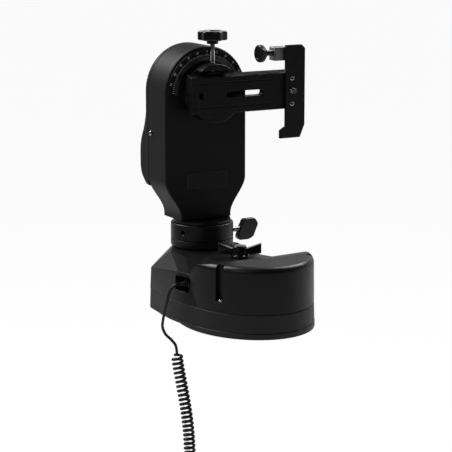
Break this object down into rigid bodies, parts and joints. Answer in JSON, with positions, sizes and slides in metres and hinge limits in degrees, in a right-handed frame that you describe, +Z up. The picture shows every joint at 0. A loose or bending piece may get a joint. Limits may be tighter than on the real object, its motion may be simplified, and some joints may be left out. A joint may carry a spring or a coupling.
{
  "type": "motorized camera head",
  "caption": "Motorised pan and tilt camera head: a geared base that turns on a tripod, a collared arm, a tilt dial with a clamped dovetail bar and bracket, and a curly control cord.",
  "frame": {"origin": "middle of the turntable's underside, where the tripod holds the head, on the azimuth axis", "axes": "+Z up along the azimuth axis, +X from the arm to the azimuth axis, lens along -Y"},
  "size_m": [0.2444, 0.1974, 0.5701],
  "materials": {
    "turntable_plate": "machined, light",
    "azimuth_ring_gear": "machined",
    "clutch_washer": "turned bright",
    "clutch_sleeve": "turned bright",
    "azimuth_clutch_knob": "satin black moulding",
    "base_tray": "satin black paint on a casting",
    "base_foot_left": "matt black",
    "base_foot_right": "matt black",
    "base_lower_shell": "satin black paint on a casting",
    "base_upper_shell": "satin black paint on a casting",
    "case_screw_left": "polished",
    "case_screw_right": "polished",
    "azimuth_bearing": "turned bright",
    "azimuth_motor_bracket": "turned bright",
    "azimuth_gearbox": "machined",
    "azimuth_motor": "turned bright",
    "azimuth_pinion": "turned bright",
    "control_board": "green solder mask",
    "hand_control_socket": "satin black moulding",
    "power_socket": "satin black moulding",
    "switch_frame": "satin black moulding",
    "switch_rocker": "gloss black",
    "lower_collar": "satin black paint on a casting",
    "upper_collar": "black anodised",
    "collar_clamp_screw": "turned bright",
    "collar_clamp_paddle": "satin black moulding",
    "neck_spigot": "black anodised",
    "arm_front_housing": "satin black paint on a casting",
    "arm_rear_cover": "satin black paint on a casting",
    "arm_seam_screw_left": "polished",
    "arm_seam_screw_right": "polished",
    "arm_label_plate": "bare dark plate",
    "tilt_scale": "dark satin ring with a lighter inner stripe",
    "tilt_bearing_front": "turned bright",
    "tilt_bearing_rear": "turned bright",
    "tilt_shaft": "turned bright",
    "tilt_gear": "machined",
    "tilt_idler_gear": "machined",
    "tilt_pinion": "turned bright",
    "tilt_gearbox": "machined",
    "tilt_motor": "turned bright",
    "tilt_motor_plate": "turned bright",
    "tilt_hub": "black anodised",
    "saddle_body": "black anodised",
    "saddle_pressure_pad": "machined",
    "saddle_clamp_screw": "turned bright",
    "saddle_clamp_knob": "satin black moulding",
    "dovetail_bar": "black anodised",
    "bracket_plate": "satin black paint on a casting",
    "bracket_screw_lower": "polished",
    "bracket_screw_upper": "polished",
    "bracket_clamp_block": "machined, light",
    "bracket_thumb_screw": "gloss black",
    "camera_screw": "turned bright",
    "cord_plug": "satin black moulding",
    "cord_plug_boot": "matt black",
    "cord_lead": "matt black",
    "curly_cord": "matt black",
    "far_plug_boot": "matt black",
    "far_plug": "satin black moulding"
  },
  "bodies": {
    "turntable": {"turntable_plate": "turntable_plate", "azimuth_ring_gear": "azimuth_ring_gear", "clutch_washer": "clutch_washer", "clutch_sleeve": "clutch_sleeve"},
    "clutch_knob": {"azimuth_clutch_knob": "azimuth_clutch_knob"},
    "base": {"base_tray": "base_tray", "base_lower_shell": "base_lower_shell", "base_upper_shell": "base_upper_shell", "base_foot_left": "base_foot_left", "base_foot_right": "base_foot_right", "case_screw_left": "case_screw_left", "case_screw_right": "case_screw_right", "azimuth_bearing": "azimuth_bearing", "azimuth_motor_bracket": "azimuth_motor_bracket", "azimuth_gearbox": "azimuth_gearbox", "azimuth_motor": "azimuth_motor", "control_board": "control_board", "hand_control_socket": "hand_control_socket", "power_socket": "power_socket", "switch_frame": "switch_frame", "lower_collar": "lower_collar", "upper_collar": "upper_collar", "cord_plug": "cord_plug", "cord_plug_boot": "cord_plug_boot", "cord_lead": "cord_lead", "curly_cord": "curly_cord", "far_plug_boot": "far_plug_boot", "far_plug": "far_plug"},
    "azimuth_pinion": {"azimuth_pinion": "azimuth_pinion"},
    "power_rocker": {"switch_rocker": "switch_rocker"},
    "collar_clamp": {"collar_clamp_screw": "collar_clamp_screw", "collar_clamp_paddle": "collar_clamp_paddle"},
    "arm": {"neck_spigot": "neck_spigot", "arm_front_housing": "arm_front_housing", "arm_rear_cover": "arm_rear_cover", "arm_seam_screw_left": "arm_seam_screw_left", "arm_seam_screw_right": "arm_seam_screw_right", "arm_label_plate": "arm_label_plate", "tilt_scale": "tilt_scale", "tilt_bearing_front": "tilt_bearing_front", "tilt_bearing_rear": "tilt_bearing_rear", "tilt_gearbox": "tilt_gearbox", "tilt_motor": "tilt_motor", "tilt_motor_plate": "tilt_motor_plate"},
    "tilt_idler": {"tilt_idler_gear": "tilt_idler_gear"},
    "tilt_pinion": {"tilt_pinion": "tilt_pinion"},
    "tilt_head": {"tilt_shaft": "tilt_shaft", "tilt_gear": "tilt_gear", "tilt_hub": "tilt_hub", "saddle_body": "saddle_body"},
    "saddle_pad": {"saddle_pressure_pad": "saddle_pressure_pad"},
    "saddle_knob": {"saddle_clamp_screw": "saddle_clamp_screw", "saddle_clamp_knob": "saddle_clamp_knob"},
    "bar": {"dovetail_bar": "dovetail_bar", "bracket_plate": "bracket_plate", "bracket_screw_lower": "bracket_screw_lower", "bracket_screw_upper": "bracket_screw_upper", "bracket_clamp_block": "bracket_clamp_block"},
    "thumb_screw": {"bracket_thumb_screw": "bracket_thumb_screw"},
    "camera_screw": {"camera_screw": "camera_screw"}
  },
  "joints": [
    {"name": "azimuth", "type": "hinge", "parent": "turntable", "child": "base", "pos_m": [0, 0, 0], "axis": [0, 0, 1], "continuous": true},
    {"name": "azimuth_pinion_spin", "type": "hinge", "parent": "base", "child": "azimuth_pinion", "pos_m": [0.0437, 0, 0.025], "axis": [0, 0, 1], "continuous": true},
    {"name": "clutch_knob_turn", "type": "hinge", "parent": "turntable", "child": "clutch_knob", "pos_m": [0, 0, 0.075], "axis": [0, 0, 1], "range_deg": [0, 180]},
    {"name": "power_rocker_tip", "type": "hinge", "parent": "base", "child": "power_rocker", "pos_m": [-0.046, 0.06, 0.038], "axis": [0, 0, 1], "range_deg": [-16, 0]},
    {"name": "collar_clamp_turn", "type": "hinge", "parent": "base", "child": "collar_clamp", "pos_m": [-0.085, 0.044, 0.0795], "axis": [0, 1, 0], "range_deg": [0, 180]},
    {"name": "arm_swivel", "type": "hinge", "parent": "base", "child": "arm", "pos_m": [-0.085, 0, 0.0953], "axis": [0, 0, 1], "range_deg": [-180, 180]},
    {"name": "tilt", "type": "hinge", "parent": "arm", "child": "tilt_head", "pos_m": [-0.088, 0, 0.236], "axis": [1, 0, 0], "range_deg": [-90, 90]},
    {"name": "tilt_idler_spin", "type": "hinge", "parent": "arm", "child": "tilt_idler", "pos_m": [-0.088, 0, 0.1833], "axis": [1, 0, 0], "range_deg": [-153, 153]},
    {"name": "tilt_pinion_spin", "type": "hinge", "parent": "arm", "child": "tilt_pinion", "pos_m": [-0.088, 0, 0.1561], "axis": [1, 0, 0], "range_deg": [-397, 397]},
    {"name": "saddle_pad_lift", "type": "slide", "parent": "tilt_head", "child": "saddle_pad", "axis": [0, 0, 1], "range_m": [0, 0.0021]},
    {"name": "saddle_knob_turn", "type": "hinge", "parent": "saddle_pad", "child": "saddle_knob", "pos_m": [-0.06, 0, 0.2602], "axis": [0, 0, 1], "range_deg": [0, 720]},
    {"name": "bar_slide", "type": "slide", "parent": "tilt_head", "child": "bar", "axis": [0, 1, 0], "range_m": [-0.025, 0.015]},
    {"name": "thumb_screw_turn", "type": "hinge", "parent": "bar", "child": "thumb_screw", "pos_m": [-0.056, 0.066, 0.2775], "axis": [0, -1, 0], "range_deg": [0, 360]},
    {"name": "camera_screw_spin", "type": "hinge", "parent": "bar", "child": "camera_screw", "pos_m": [-0.063, 0.092, 0.236], "axis": [1, 0, 0], "continuous": true}
  ],
  "couplings": [
    {"joint": "azimuth_pinion_spin", "follows": "azimuth", "ratio": 4.8},
    {"joint": "tilt_idler_spin", "follows": "tilt", "ratio": -1.6923},
    {"joint": "tilt_pinion_spin", "follows": "tilt", "ratio": 4.4},
    {"joint": "saddle_pad_lift", "follows": "saddle_knob_turn", "m_per_rad": 0.00015915}
  ]
}
